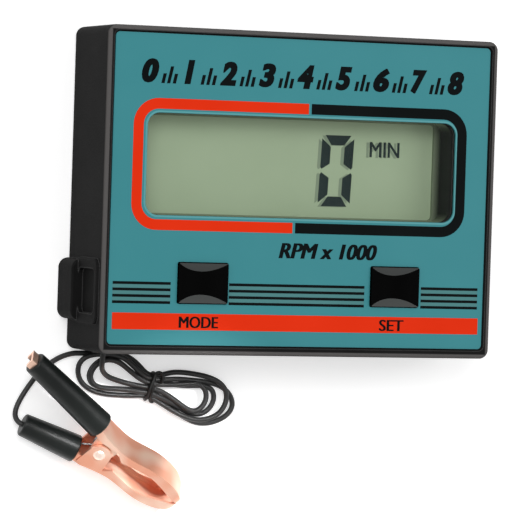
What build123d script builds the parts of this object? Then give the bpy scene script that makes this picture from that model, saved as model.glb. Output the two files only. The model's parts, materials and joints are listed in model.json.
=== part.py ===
from build123d import *
import math
import os

# Small engine tachometer: a flat moulded housing with a printed face, a liquid crystal display
# and two keys, and a thin pick-up lead with a spring clip on its end.
# Millimetres. The housing lies on its back: X runs along the face, Y up the face and Z out of it.
# The origin is the centre of the rear face.

# Housing
case_w = 100.0
case_h = 77.0
case_d = 25.0
wall = 2.4
front_thickness = 2.6
corner_r = 2.2
front_edge_r = 0.9
rear_edge_r = 1.0
rim_w = 1.9
rim_slope = 0.35
face_recess = 1.0
face_shift_y = 0.35

# Rear opening, cover, seal and the four cover screws
cover_t = 2.4
cover_gap = 0.2
rebate_wall = 1.3
seal_t = 1.0
seal_w = 1.0
cover_post_r = 3.6
cover_post_in_x = 13.0
cover_post_in_y = 6.4
cover_screw_r = 1.2
cover_screw_len = 12.0
cover_head_r = 2.4
cover_head_t = 1.3
cover_head_sink = 0.4
screw_slack = 0.2

# Printed face and window
overlay_t = 0.5
overlay_gap = 0.1
overlay_corner_r = 1.0
window_w = 79.0
window_h = 24.0
window_y = 6.3
window_r = 3.0
lens_t = 1.0
lens_lap = 1.6
lens_gap = 0.15

# Display behind the window
bezel_wall = 1.2
bezel_depth = 6.4
bezel_lip = 1.9
bezel_lip_t = 0.8
glass_over_w = 0.5
glass_over_h = 2.5
glass_t = 2.0
contact_edge = 1.6
reflector_t = 0.4
strip_short = 2.0
strip_t = 2.0
strip_in = 0.3

# Circuit board
board_margin_x = 2.6
board_margin_y = 3.1
board_t = 1.6
board_gap = 0.6
strip_h = 3.8
upper_board_post_in = (14.0, 6.0)
lower_board_post_in = (7.0, 15.0)
board_post_r = 2.6
board_screw_r = 1.0
board_screw_len = 6.0
board_head_r = 2.0
board_head_t = 1.4
chip_up = 12.0
chip_w = 10.0
chip_t = 1.4
chip_lead_reach = 1.0
crystal_x = 14.5
crystal_up = 3.0
crystal_len = 8.0
crystal_r = 1.5

# Coin cell and holder on the board's rear side
cell_r = 10.0
cell_t = 3.2
cell_gap = 0.2
holder_wall = 1.4
holder_floor = 0.8
cell_x = 10.0
cell_y = -8.0

# Keys
key_x = 24.6
key_up = 17.0
key_w = 12.4
key_h = 9.5
key_gap = 0.2
key_rise = 0.2
key_dish = 1.6
key_end_slope = 1.95
key_flange = 1.0
key_flange_t = 1.0
key_flange_gap = 0.2
key_stem_r = 2.2
switch_w = 6.0
switch_t = 3.6
plunger_r = 1.7
plunger_rise = 1.2
plunger_gap = 0.1
key_travel = 0.8

# Lug on the left wall
lug_up = 14.5
lug_boss_len = 10.4
lug_boss_h = 14.6
lug_boss_out = 2.4
lug_boss_r = 2.35
lug_pad_in = 1.4
lug_pad_h = 15.4
lug_pad_out = 0.8
lug_pad_r = 2.2
lug_pocket_h = 10.6
lug_pocket_in = 2.8
lug_pocket_r = 1.6
lug_pocket_floor = 0.4

# Lead and gland. The lead, its hank and the clip take their places from the housing's lower left
# corner, so they stay beside its lower wall.
cord_d = 1.3
gland_in = 7.1
gland_z = 7.0
gland_neck_r = 1.9
gland_flange_r = 2.7
gland_flange_t = 0.6
gland_tail_len = 2.0
tail_reach = 8.5

# Hank: its two lobes, and the tie round its waist
hank_h = 3.3
hank_edge_r = 0.7
waist = (21.0, -9.0)
waist_r = 3.1
left_lobe = (7.4, -6.1)
left_lobe_r = 4.7
right_lobe = (37.2, -12.8)
right_lobe_r = 5.1
right_shoulder = (30.0, -9.4)
right_shoulder_r = 3.3
neck_x = 4.4
neck_top = -0.4
tie_w = 1.2
tie_t = 0.6
tie_sink = 0.7
tie_turn = -12.0
tie_tail = 2.6

# Clip: sheet arms on a rivet, drawn in the clip's own plane with u along the jaws and v across them
clip_x = 7.25
clip_y = -22.7
clip_heading = -31.5
clip_roll = 40.0
clip_dip = 1.9
sheet_t = 0.7
jaw_len = 24.0
jaw_nose_r = 2.4
jaw_half_w = 4.0
jaw_gap = 0.3
ear_r = 2.8
ear_gap = 0.12
rivet_r = 1.0
rivet_clear = 0.05
rivet_head_r = 1.45
rivet_head_t = 0.7
grip_splay = 10.7
grip_front_u = -3.6
grip_front_v = 4.7
grip_half_w = 1.9
grip_half_h = 1.2
upper_grip_end = -28.6
lower_grip_end = -16.0
upper_sleeve_len = 24.0
lower_sleeve_len = 14.6
sleeve_front_r = 3.45
sleeve_rear_r = 2.75
lead_in_sleeve = 0.6
lead_past_sleeve = 0.4
spring_wire = 0.6
spring_turns = 3.5
spring_pitch = 1.05
spring_slack = 0.25
spring_leg_u = -3.2
spring_leg_v = 4.2
spring_leg_lap = 0.1


# Heights that follow from the sizes above
recess_floor = case_d - face_recess
plate_under = recess_floor - front_thickness
glass_front = plate_under - bezel_depth
glass_rear = glass_front - glass_t
board_top = glass_rear - strip_h
board_rear = board_top - board_t
seal_bottom = cover_t
ledge_z = cover_t + seal_t
cavity_w = case_w - 2 * wall
cavity_h = case_h - 2 * wall
opening_w = case_w - 2 * rebate_wall
opening_h = case_h - 2 * rebate_wall
overlay_w = case_w - 2 * rim_w - 2 * overlay_gap
overlay_h = case_h - 2 * rim_w - 2 * overlay_gap
glass_w = window_w + 2 * glass_over_w
glass_h = window_h + 2 * glass_over_h
board_w = cavity_w - 2 * board_margin_x
board_h = cavity_h - 2 * board_margin_y
key_y = -case_h / 2 + key_up
lug_y = -case_h / 2 + lug_up
lug_pad_end = case_d - lug_pad_in
lug_pocket_end = case_d - lug_pocket_in
cord_r = cord_d / 2


def box_between(x0, x1, y0, y1, z0, z1):
    """A box from its lowest to its highest corner."""
    size = (x1 - x0, y1 - y0, z1 - z0)
    centre = ((x0 + x1) / 2, (y0 + y1) / 2, (z0 + z1) / 2)
    return Pos(*centre) * Box(*size)


def plate(width, height, radius, z0, z1, x=0.0, y=0.0):
    """A flat plate with rounded corners, from z0 up to z1."""
    outline = RectangleRounded(width, height, radius) if radius else Rectangle(width, height)
    return Pos(x, y, z0) * extrude(outline, z1 - z0)


def rod(radius, x, y, z0, z1):
    """A round rod along Z."""
    return Pos(x, y, (z0 + z1) / 2) * Cylinder(radius, z1 - z0)


def corners(x, y):
    """The four points of a rectangle with half sides x and y."""
    return [(sx * x, sy * y) for sx in (-1, 1) for sy in (-1, 1)]


cover_posts = corners(case_w / 2 - cover_post_in_x, case_h / 2 - cover_post_in_y)
upper_post = (board_w / 2 - upper_board_post_in[0], board_h / 2 - upper_board_post_in[1])
lower_post = (board_w / 2 - lower_board_post_in[0], lower_board_post_in[1] - board_h / 2)
board_posts = [(side * x, y) for x, y in (upper_post, lower_post) for side in (-1, 1)]
beside = Pos(-case_w / 2, -case_h / 2, 0)
keys = {"mode": -key_x, "set": key_x}


# Housing

def lug():
    """The boss, and the raised pad with its pocket, on the left wall."""
    inside = -case_w / 2 + 0.5
    boss_x = -case_w / 2 - lug_boss_out
    boss = box_between(
        boss_x, inside, lug_y - lug_boss_h / 2, lug_y + lug_boss_h / 2, 0.0, lug_boss_len
    )
    boss = fillet(boss.edges().filter_by(Axis.Z).group_by(Axis.X)[0], lug_boss_r)
    boss = fillet(boss.faces().sort_by(Axis.X)[0].edges().sort_by(Axis.Z)[-1], 0.5)
    pad_len = lug_pad_end - lug_boss_len + 3.0
    pad_plane = Plane((-case_w / 2, lug_y, lug_pad_end - pad_len / 2), (0, 1, 0), (-1, 0, 0))
    pad = extrude(pad_plane * RectangleRounded(lug_pad_h, pad_len, lug_pad_r), lug_pad_out)
    pad += extrude(pad_plane * RectangleRounded(lug_pad_h, pad_len, lug_pad_r), -0.5)
    pad = fillet(pad.faces().sort_by(Axis.X)[0].edges(), 0.35)
    return boss + pad


def lug_pocket():
    """The shallow pocket in the pad, which the boss closes at its rear."""
    length = lug_pocket_end - lug_boss_len
    depth = lug_pad_out + lug_pocket_floor
    plane = Plane(
        (-case_w / 2 - lug_pad_out, lug_y, lug_boss_len + length / 2), (0, 1, 0), (1, 0, 0)
    )
    pocket = extrude(plane * RectangleRounded(lug_pocket_h, length, lug_pocket_r), depth)
    return pocket


def front_case():
    """The deep shell: front and four walls in one moulding, open at the rear."""
    body = plate(case_w, case_h, corner_r, 0.0, case_d)
    body = fillet(body.faces().sort_by(Axis.Z)[-1].edges(), front_edge_r)
    body = fillet(body.faces().sort_by(Axis.Z)[0].edges(), rear_edge_r)
    body += lug()
    body -= plate(cavity_w, cavity_h, 1.0, ledge_z, plate_under)
    body -= plate(opening_w, opening_h, corner_r - rebate_wall, -1.0, ledge_z)
    panel_w = case_w - 2 * rim_w
    panel_h = case_h - 2 * rim_w
    recess = plate(panel_w, panel_h, overlay_corner_r, recess_floor, case_d + 0.01)
    slope = math.degrees(math.atan(rim_slope / face_recess))
    outline = Pos(0, 0, recess_floor) * RectangleRounded(panel_w, panel_h, overlay_corner_r)
    recess += extrude(outline, face_recess, taper=-slope)
    body -= Pos(0, face_shift_y, 0) * recess
    lens_w = window_w + 2 * lens_lap + 2 * lens_gap
    lens_h = window_h + 2 * lens_lap + 2 * lens_gap
    body -= plate(lens_w, lens_h, window_r, recess_floor - lens_t, recess_floor, y=window_y)
    body -= plate(window_w, window_h, window_r, plate_under - 1, recess_floor, y=window_y)
    for x in keys.values():
        hole_w = key_w + 2 * key_gap
        hole_h = key_h + 2 * key_gap
        body -= plate(hole_w, hole_h, 0.5, plate_under - 1, case_d, x=x, y=key_y)
    for x, y in cover_posts:
        body += rod(cover_post_r, x, y, ledge_z, plate_under) & plate(
            case_w - wall, case_h - wall, 1.0, 0.0, case_d
        )
        body -= rod(cover_screw_r, x, y, 0.0, cover_head_sink + cover_head_t + cover_screw_len + 0.5)
    for x, y in board_posts:
        body += rod(board_post_r, x, y, board_top, plate_under)
        body -= rod(board_screw_r, x, y, board_top - 1, board_rear + board_screw_len + 0.5)
    body -= lug_pocket()
    neck = Plane((gland_in, 0, gland_z), z_dir=(0, 1, 0))
    body -= beside * extrude(neck * Circle(gland_neck_r), wall + 1, both=True)
    return body


def rear_cover():
    """The flat cover, let into the rear of the shell, with sunk screw heads."""
    width = opening_w - 2 * cover_gap
    height = opening_h - 2 * cover_gap
    cover = plate(width, height, corner_r - rebate_wall, 0.0, cover_t)
    cover = chamfer(cover.faces().sort_by(Axis.Z)[0].edges(), 0.25)
    for x, y in cover_posts:
        cover -= rod(cover_screw_r + screw_slack, x, y, -1.0, cover_t + 1)
        cover -= rod(cover_head_r + screw_slack, x, y, -1.0, cover_head_sink + cover_head_t)
    return cover


def case_seal():
    """The flat ring squeezed between the cover and the ledge in the walls."""
    outer_w = opening_w - 2 * cover_gap
    outer_h = opening_h - 2 * cover_gap
    outer = plate(outer_w, outer_h, corner_r - rebate_wall, seal_bottom, ledge_z)
    return outer - plate(
        outer_w - 2 * seal_w, outer_h - 2 * seal_w, 0.4, seal_bottom - 1, ledge_z + 1
    )


def screw(shank_r, length, head_r, head_t):
    """A pan-head screw with a cross recess, head down, its shank pointing up from z = 0."""
    head = Pos(0, 0, -head_t / 2) * Cylinder(head_r, head_t)
    head = chamfer(head.edges().sort_by(Axis.Z)[0], head_t * 0.3)
    body = head + Pos(0, 0, length / 2) * Cylinder(shank_r, length)
    for turn in (0, 90):
        slot = Box(head_r * 1.2, head_r * 0.28, head_t)
        body -= Pos(0, 0, -head_t) * Rot(0, 0, turn) * slot
    return body


def case_screws():
    """Four cover screws, driven from the rear into the corner posts."""
    head_seat = cover_head_sink + cover_head_t
    one = screw(cover_screw_r, cover_screw_len, cover_head_r, cover_head_t)
    return [Pos(x, y, head_seat) * one for x, y in cover_posts]


# Face and display

def face_overlay():
    """The printed sheet in the recess, with the window and the two key holes."""
    sheet = plate(
        overlay_w, overlay_h, overlay_corner_r, recess_floor, recess_floor + overlay_t,
        y=face_shift_y,
    )
    sheet -= plate(window_w, window_h, window_r, recess_floor - 1, case_d, y=window_y)
    for x in keys.values():
        sheet -= plate(
            key_w + 2 * key_gap, key_h + 2 * key_gap, 0.5, recess_floor - 1, case_d, x=x, y=key_y
        )
    return sheet


def window_lens():
    """The clear pane under the overlay, seated in its rebate."""
    return plate(
        window_w + 2 * lens_lap, window_h + 2 * lens_lap, window_r,
        recess_floor - lens_t, recess_floor, y=window_y,
    )


def display_bezel():
    """The black frame that spaces the display glass back from the window."""
    outer_w = window_w + 2 * bezel_wall
    outer_h = window_h + 2 * bezel_wall
    frame = plate(outer_w, outer_h, window_r + bezel_wall, glass_front, plate_under, y=window_y)
    lip_top = glass_front + bezel_lip_t
    frame -= plate(window_w, window_h, window_r, lip_top, plate_under + 1, y=window_y)
    frame -= plate(
        window_w - 2 * bezel_lip, window_h - 0.8, 1.0, glass_front - 1, lip_top + 1, y=window_y
    )
    return frame


def display_glass():
    """The display: two bonded panes, the rear one longer at its contact edges."""
    glass = plate(glass_w, glass_h, 0, glass_rear, glass_front, y=window_y)
    for side in (-1, 1):
        y = window_y + side * (glass_h / 2 - contact_edge / 2)
        glass -= plate(
            glass_w + 1, contact_edge, 0, glass_front - glass_t / 2, glass_front + 1, y=y
        )
    return chamfer(glass.edges().filter_by(Axis.Z), 0.4)


def display_reflector():
    """The sheet behind the glass that sends the light back."""
    height = window_h - 2 * reflector_t
    return plate(window_w, height, 0, glass_rear - reflector_t, glass_rear, y=window_y)


def contact_strips():
    """The two rubber strips that carry the signals from the board to the glass."""
    strips = []
    for side in (-1, 1):
        y = window_y + side * (glass_h / 2 - strip_t / 2 - strip_in)
        strip = plate(glass_w - 2 * strip_short, strip_t, 0, board_top, glass_rear, y=y)
        strips.append(chamfer(strip.edges().filter_by(Axis.X), 0.2))
    return strips


# Board

def circuit_board():
    """The board, notched round the corner posts and holed for its screws."""
    board = plate(board_w, board_h, 1.0, board_rear, board_top)
    for x, y in cover_posts:
        board -= rod(cover_post_r + board_gap, x, y, 0, case_d)
    for x, y in board_posts:
        board -= rod(board_screw_r + screw_slack, x, y, 0, case_d)
    return board


def board_screws():
    """Four screws that hold the board to its posts from the rear."""
    one = screw(board_screw_r, board_screw_len, board_head_r, board_head_t)
    return [Pos(x, y, board_rear) * one for x, y in board_posts]


def controller_chip():
    """The flat square chip, with its leads as four rows of feet."""
    bottom = board_top + 0.1
    x, y = 0.0, chip_up - board_h / 2
    chip = plate(chip_w, chip_w, 0.3, bottom, bottom + chip_t, x=x, y=y)
    chip = chamfer(chip.faces().sort_by(Axis.Z)[-1].edges(), 0.2)
    foot = Box(chip_lead_reach + 1.0, 0.4, 0.3)
    feet = []
    for turn in range(4):
        for k in range(6):
            offset = (k - 2.5) * 1.4
            foot_at = Pos(chip_w / 2 + chip_lead_reach / 2 - 0.4, offset, 0.15)
            feet.append(Pos(x, y, board_top) * Rot(0, 0, 90 * turn) * foot_at * foot)
    return chip + feet


def timing_crystal():
    """The small metal can beside the chip, lying on the board."""
    can = Cylinder(crystal_r, crystal_len)
    can = chamfer(can.edges(), 0.3)
    return Pos(crystal_x, crystal_up - board_h / 2, board_top + crystal_r) * Rot(0, 90, 0) * can


def cell_holder():
    """The moulded cup for the coin cell, open towards the rear and at one side."""
    top = board_rear
    low = board_rear - holder_floor - cell_t + 0.6
    outer_r = cell_r + cell_gap + holder_wall
    cup = rod(outer_r, cell_x, cell_y, low, top)
    cup -= rod(cell_r + cell_gap, cell_x, cell_y, low - 1, top - holder_floor)
    mouth = box_between(
        cell_x, cell_x + 2 * outer_r, cell_y - 7, cell_y + 7, low - 1, top - holder_floor
    )
    return cup - mouth


def coin_cell():
    """The coin cell, its rim stepped as the two halves of its can are."""
    top = board_rear - holder_floor
    cell = rod(cell_r, cell_x, cell_y, top - cell_t, top)
    cell = chamfer(cell.edges(), 0.3)
    return cell - (
        rod(cell_r + 1, cell_x, cell_y, top - cell_t - 1, top - cell_t + 0.5)
        - rod(cell_r - 1.1, cell_x, cell_y, top - cell_t - 2, top - cell_t + 1)
    )


# Keys

def key_button(x):
    """A dished key: the dish's two ends slope up to the key's straight edges."""
    top = case_d + key_rise
    flange_top = plate_under - key_flange_gap
    body = plate(key_w, key_h, 0.4, flange_top - 0.1, top)
    dish_r = ((key_w / 2) ** 2 + key_dish**2) / (2 * key_dish)
    barrel = Pos(0, 0, top - key_dish + dish_r) * Rot(90, 0, 0) * Cylinder(dish_r, key_h + 2)
    half = key_h / 2 - 0.05
    ends = Polyline(
        (half, top), (half, top + 1), (-half, top + 1), (-half, top),
        (-half + key_end_slope, top - key_dish), (half - key_end_slope, top - key_dish),
        close=True,
    )
    trough = extrude(Plane.YZ * make_face(ends), key_w, both=True)
    body -= barrel & trough
    flange_w = key_w + 2 * key_gap + 2 * key_flange
    flange_h = key_h + 2 * key_gap + 2 * key_flange
    body += plate(flange_w, flange_h, 0.8, flange_top - key_flange_t, flange_top)
    stem_bottom = board_top + switch_t + plunger_rise
    body += rod(key_stem_r, 0, 0, stem_bottom, flange_top - key_flange_t / 2)
    return Pos(x, key_y, 0) * body


def key_plunger(x):
    """The switch's plunger, which travels with the key."""
    top = board_top + switch_t + plunger_rise
    bottom = board_top + 0.3 + key_travel + plunger_gap
    stem = rod(plunger_r, x, key_y, bottom, top)
    return stem


def key_switch(x):
    """The switch body on the board, bored for its plunger."""
    body = plate(switch_w, switch_w, 0.4, board_top, board_top + switch_t, x=x, y=key_y)
    bore_r = plunger_r + plunger_gap
    return body - rod(bore_r, x, key_y, board_top + 0.3, board_top + switch_t + 1)


# Lead

def gland():
    """The grommet in the lower wall: a flange each side of the wall, and a short tail inside."""
    plane = Plane((gland_in, 0, gland_z), z_dir=(0, 1, 0))
    body = extrude(plane * Circle(gland_neck_r), wall)
    body += extrude(plane * Circle(gland_flange_r), -gland_flange_t)
    body += extrude(plane.offset(wall) * Circle(gland_flange_r), gland_flange_t)
    tail = plane.offset(wall) * Circle(gland_neck_r * 0.75)
    body += extrude(tail, gland_tail_len)
    body -= extrude(plane * Circle(cord_r), 2 * wall + gland_tail_len, both=True)
    outer_ring = body.faces().sort_by(Axis.Y)[0].edges().sort_by(SortBy.LENGTH)[-1]
    return fillet(outer_ring, 0.3)


def route_radii(points):
    """The arc at each inner point: 0.45 of the shorter run over the tangent of half the turn."""
    radii = []
    for before, at, after in zip(points, points[1:], points[2:]):
        run_in = Vector(*at) - Vector(*before)
        run_out = Vector(*after) - Vector(*at)
        turn = math.radians(run_in.get_angle(run_out))
        radii.append(0.45 * min(run_in.length, run_out.length) / math.tan(turn / 2))
    return radii


def tube(points, radius, name):
    """A cord's tube: straight runs joined by tangent arcs."""
    radii = route_radii(points)
    path = FilletPolyline(*points, radius=radii)
    start = Plane(path @ 0, z_dir=path % 0)
    solid = sweep(start * Circle(radius), path=path)
    print(
        f"{name}: length {path.length:.1f} mm, radii {[round(r, 1) for r in radii]}, "
        f"volume {solid.volume:.2f} against {math.pi * radius**2 * path.length:.2f}"
    )
    return solid


def lead_tail_points():
    """Inside the housing: from the gland's tail down under the board and up to its rear side."""
    start_y = wall + gland_tail_len
    board_x = gland_in + 1.0
    board_y = start_y + tail_reach
    return [
        (gland_in, start_y, gland_z),
        (gland_in + 0.1, start_y + 1.8, gland_z - 0.3),
        (gland_in + 0.3, start_y + 3.8, gland_z - 1.4),
        (gland_in + 0.7, board_y - 1.9, board_rear - 3.0),
        (board_x, board_y, board_rear - 2.0),
        (board_x, board_y, board_rear),
    ]


def gland_run_points():
    """Out of the lower wall and down on to the hank."""
    exit_y = -gland_flange_t
    return [
        (gland_in, exit_y, gland_z),
        (gland_in, exit_y - 1.5, gland_z),
        (gland_in, exit_y - 3.1, gland_z - 0.9),
        (gland_in, exit_y - 3.9, gland_z - 2.3),
        (gland_in, exit_y - 3.9, hank_h),
    ]


def hank():
    """The hank's outer shape: two lobes and the waist, which the tie sinks into."""
    left = make_hull(
        (Pos(*left_lobe) * Circle(left_lobe_r)).edges() + (Pos(*waist) * Circle(waist_r)).edges()
    )
    right = make_hull(
        (Pos(*right_lobe) * Circle(right_lobe_r)).edges()
        + (Pos(*right_shoulder) * Circle(right_shoulder_r)).edges()
        + (Pos(*waist) * Circle(waist_r)).edges()
    )
    lobes = extrude(left, hank_h) + extrude(right, hank_h)
    top = lobes.faces().sort_by(Axis.Z)[-1]
    lobes = fillet(top.edges(), hank_edge_r)
    neck = box_between(neck_x, neck_x + 4.5, neck_top - 3.0, neck_top, 0.0, cord_d + 0.2)
    body = lobes + neck
    return body - tie_band(outer_only=True)


def tie_band(outer_only=False):
    """The tie's band round the waist, or the groove that it lies in."""
    band_w = 2 * waist_r - 2 * tie_sink + 2 * tie_t
    band_h = hank_h - tie_sink + tie_t
    place = Pos(waist[0], waist[1], band_h / 2) * Rot(0, 0, tie_turn)
    across = Plane.YZ
    if outer_only:
        block = Box(tie_w, 4 * waist_r, 2 * hank_h)
        core = extrude(across * RectangleRounded(band_w - 2 * tie_t, band_h - 2 * tie_t, 0.7), tie_w)
        return place * (block - Pos(-tie_w / 2, 0, 0) * core)
    ring = RectangleRounded(band_w, band_h, 0.7 + tie_t)
    ring -= RectangleRounded(band_w - 2 * tie_t, band_h - 2 * tie_t, 0.7)
    band = Pos(-tie_w / 2, 0, 0) * extrude(across * ring, tie_w)
    return place * band


def hank_tie():
    """The tie: its band, and the twisted tail that stands off the hank's lower side."""
    band_w = 2 * waist_r - 2 * tie_sink + 2 * tie_t
    band_h = hank_h - tie_sink + tie_t
    place = Pos(waist[0], waist[1], 0) * Rot(0, 0, tie_turn)
    tail = Pos(0, -band_w / 2 - tie_tail / 2 + 0.2, band_h / 2)
    bar = tail * Rot(90, 0, 0) * Cylinder(tie_t * 0.8, tie_tail)
    return tie_band() + place * bar


clip_route = [
    (neck_x, neck_top - 0.7, 0.75),
    (1.4, neck_top - 0.7, 0.75),
    (-1.9, -2.2, 0.7),
    (-5.1, -4.4, 0.7),
    (-7.6, -7.0, 0.7),
    (-9.6, -9.7, 0.7),
    (-11.15, -12.2, 0.7),
    (-12.15, -14.25, 0.85),
    (-12.55, -15.75, 1.3),
    (-12.45, -16.75, 1.8),
    (-12.07, -17.44, 2.3),
]


# Clip

def clip_plane(height):
    """The clip's own plane: x along the jaws, y towards the upper arm, z along the rivet."""
    heading = math.radians(clip_heading)
    dip = math.radians(clip_dip)
    roll = math.radians(clip_roll)
    along = Vector(
        math.cos(heading) * math.cos(dip), math.sin(heading) * math.cos(dip), -math.sin(dip)
    )
    level = Vector(-math.sin(heading), math.cos(heading), 0)
    up = along.cross(level)
    pivot = up * math.cos(roll) - level * math.sin(roll)
    return Plane(origin=(clip_x, clip_y, height), x_dir=along, z_dir=pivot)


def grip_axis(u):
    """How far the upper grip's middle line stands off the jaws' line at u."""
    return grip_front_v + math.tan(math.radians(grip_splay)) * (grip_front_u - u)


def arm_back(end_u, inset):
    """The arm's outer edge, from the grip's end to the jaw's tip, moved inwards by inset."""
    grip = [
        (end_u, grip_axis(end_u) + grip_half_h),
        (grip_front_u, grip_axis(grip_front_u) + grip_half_h),
        (-0.4, 5.0),
    ]
    jaw = [(2.6, 4.4), (5.4, 4.05), (8.8, 4.25), (12.8, 4.7), (16.8, 4.55), (20.7, 3.6)]
    tip = [(jaw_len - 0.6, 1.7), (jaw_len, 0.4)]
    line = grip + jaw + tip
    return [(u if k < len(line) - 2 else u - inset, v - inset) for k, (u, v) in enumerate(line)]


def arm_outline(end_u, inset, deep):
    """The arm's side view: its back, and the edge of its flanges along the mouth."""
    back = arm_back(end_u, inset)
    top = Polyline(*back[:2]) + Spline(*back[1:-1]) + Polyline(*back[-2:])
    end = back[-1]
    under = [
        (jaw_len - 0.3 - inset, jaw_gap / 2 - deep),
        (19.2, 1.4 - deep),
        (13.8, 2.75 - deep),
        (8.6, 2.3 - deep),
        (5.4, 1.65 - deep),
    ]
    low = Polyline(end, under[0]) + Spline(*under)
    rear = [
        under[-1],
        (3.1, 3.4 - deep),
        (-3.1, 3.4 - deep),
        (end_u, grip_axis(end_u) - grip_half_h - deep),
        back[0],
    ]
    return make_face(top + low + Polyline(*rear))


def arm_plan(end_u, inset):
    """The arm seen from its back: wide at the jaws, necked down along the grip."""
    points = [
        (end_u - 1, grip_half_w - inset),
        (-6.0, grip_half_w - inset),
        (-1.8, jaw_half_w - inset),
        (16.0, jaw_half_w - inset),
        (jaw_len + 0.05 - inset, jaw_half_w - 0.5 - inset),
    ]
    mirrored = [(u, -w) for u, w in reversed(points)]
    plan = make_face(Polyline(*points, *mirrored, close=True))
    return fillet(plan.vertices().group_by(Axis.X)[-1], jaw_nose_r - inset)


def arm_block(end_u, inset=0.0, deep=0.0):
    """The arm as a solid block, side view through plan view."""
    side = extrude(arm_outline(end_u, inset, deep), jaw_half_w + 1, both=True)
    plan = extrude(Plane.XZ * arm_plan(end_u, inset), 40, both=True)
    return side & plan


def ear(w_from, w_to):
    """One ear: a tongue from inside the arm's back down to a round end about the rivet."""
    tongue = Polyline((-ear_r, 0), (ear_r, 0), (ear_r + 0.6, 3.9), (-ear_r - 0.4, 4.9), close=True)
    return Pos(0, 0, w_from) * extrude(Circle(ear_r) + make_face(tongue), w_to - w_from)


def clip_arm(end_u, ears_inside):
    """A folded sheet arm, open towards the other arm, with its two ears bored for the rivet."""
    arm = arm_block(end_u) - arm_block(end_u, inset=sheet_t, deep=4.0)
    far = jaw_half_w
    hole = rivet_r
    if ears_inside:
        far = jaw_half_w - sheet_t - ear_gap
        hole = rivet_r + rivet_clear
    near = far - sheet_t
    arm = arm + ear(near, far) + ear(-far, -near)
    return arm - Cylinder(hole, 40)


def clip_rivet():
    """The rivet through all four ears, with a domed head at each side."""
    dome_r = (rivet_head_r**2 + rivet_head_t**2) / (2 * rivet_head_t)
    body = Cylinder(rivet_r, 2 * jaw_half_w)
    for side in (-1, 1):
        dome = Pos(0, 0, side * (jaw_half_w + rivet_head_t - dome_r)) * Sphere(dome_r)
        slab = Pos(0, 0, side * (jaw_half_w + rivet_head_t)) * Box(9, 9, 2 * rivet_head_t)
        body += dome & slab
    return body


def clip_spring():
    """The coil round the rivet, with a leg that bears on the inside of each arm's back."""
    mean_r = rivet_r + spring_slack + spring_wire / 2
    height = spring_turns * spring_pitch
    wire = Circle(spring_wire / 2)
    path = Helix(pitch=spring_pitch, height=height, radius=mean_r)
    coil = sweep(Plane(path @ 0, z_dir=path % 0) * wire, path=path)
    coil = Pos(0, 0, -height / 2) * Rot(0, 0, -90) * coil
    for side in (-1, 1):
        start_at = Vector(spring_leg_lap, side * mean_r, side * height / 2)
        end_at = Vector(spring_leg_u, side * spring_leg_v, side * height / 2)
        leg = Plane(origin=start_at, z_dir=end_at - start_at)
        coil += extrude(leg * wire, (end_at - start_at).length)
    return coil


def sleeve_line(distance):
    """A point on the upper grip's middle line, that far back from the sleeve's front."""
    splay = math.radians(grip_splay)
    return Vector(
        grip_front_u - distance * math.cos(splay), grip_front_v + distance * math.sin(splay), 0
    )


def sleeve(length, end_u, lead_hole):
    """The soft sleeve pushed over a grip, tapered to its end."""
    along = sleeve_line(1) - sleeve_line(0)
    front = Plane(origin=sleeve_line(0), x_dir=(0, 0, 1), z_dir=along)
    rear = front.offset(length)
    middle = front.offset(length / 2)
    outer = middle.location * Cone(sleeve_front_r, sleeve_rear_r, length)
    outer = fillet(outer.edges().filter_by(GeomType.CIRCLE), 0.5)
    if lead_hole:
        outer -= extrude(rear * Circle(cord_r), -length / 2)
    return outer - arm_block(end_u)


def lower_side(shape):
    """The lower arm's pieces are the upper ones turned over about the jaws' line."""
    return mirror(shape, Plane.XZ)


def mirror_line(point):
    """A point of the upper grip's line, turned over to the lower grip."""
    return Vector(point.X, -point.Y, point.Z)


def build_nodes():
    """Every piece by name, where it lies."""
    nodes = {
        "front_case": front_case(),
        "rear_cover": rear_cover(),
        "case_seal": case_seal(),
        "case_screws": case_screws(),
        "face_overlay": face_overlay(),
        "window_lens": window_lens(),
        "display_bezel": display_bezel(),
        "display_glass": display_glass(),
        "display_reflector": display_reflector(),
        "contact_strips": contact_strips(),
        "circuit_board": circuit_board(),
        "board_screws": board_screws(),
        "controller_chip": controller_chip(),
        "timing_crystal": timing_crystal(),
        "cell_holder": cell_holder(),
        "coin_cell": coin_cell(),
        "lead_gland": beside * gland(),
        "lead_tail": beside * tube(lead_tail_points(), cord_r, "lead_tail"),
        "lead_to_hank": beside * tube(gland_run_points(), cord_r, "lead_to_hank"),
        "lead_hank": beside * hank(),
        "hank_tie": beside * hank_tie(),
    }
    for name, x in keys.items():
        nodes[f"{name}_button"] = key_button(x)
        nodes[f"{name}_plunger"] = key_plunger(x)
        nodes[f"{name}_switch"] = key_switch(x)
    lower_arm = lower_side(clip_arm(lower_grip_end, ears_inside=False))
    lower_grip = lower_side(sleeve(lower_sleeve_len, lower_grip_end, lead_hole=True))
    laid = clip_plane(0.0).location
    lowest = min((laid * shape).bounding_box().min.Z for shape in (lower_arm, lower_grip))
    clip = clip_plane(-lowest)
    parts = {
        "clip_upper_arm": clip_arm(upper_grip_end, ears_inside=True),
        "clip_lower_arm": lower_arm,
        "clip_rivet": clip_rivet(),
        "clip_spring": clip_spring(),
        "upper_grip": sleeve(upper_sleeve_len, upper_grip_end, lead_hole=False),
        "lower_grip": lower_grip,
    }
    for name, shape in parts.items():
        nodes[name] = beside * clip.location * shape
    print("clip pivot", (beside * clip.location).position, "axis", clip.z_dir)
    run_end = [lower_sleeve_len + lead_past_sleeve, lower_sleeve_len - lead_in_sleeve]
    ends = [clip.from_local_coords(mirror_line(sleeve_line(distance))) for distance in run_end]
    points = clip_route + [tuple(point) for point in ends]
    print("lead to the clip", [tuple(round(value, 2) for value in point) for point in points])
    nodes["lead_to_clip"] = beside * tube(points, cord_r, "lead_to_clip")
    return nodes


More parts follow.
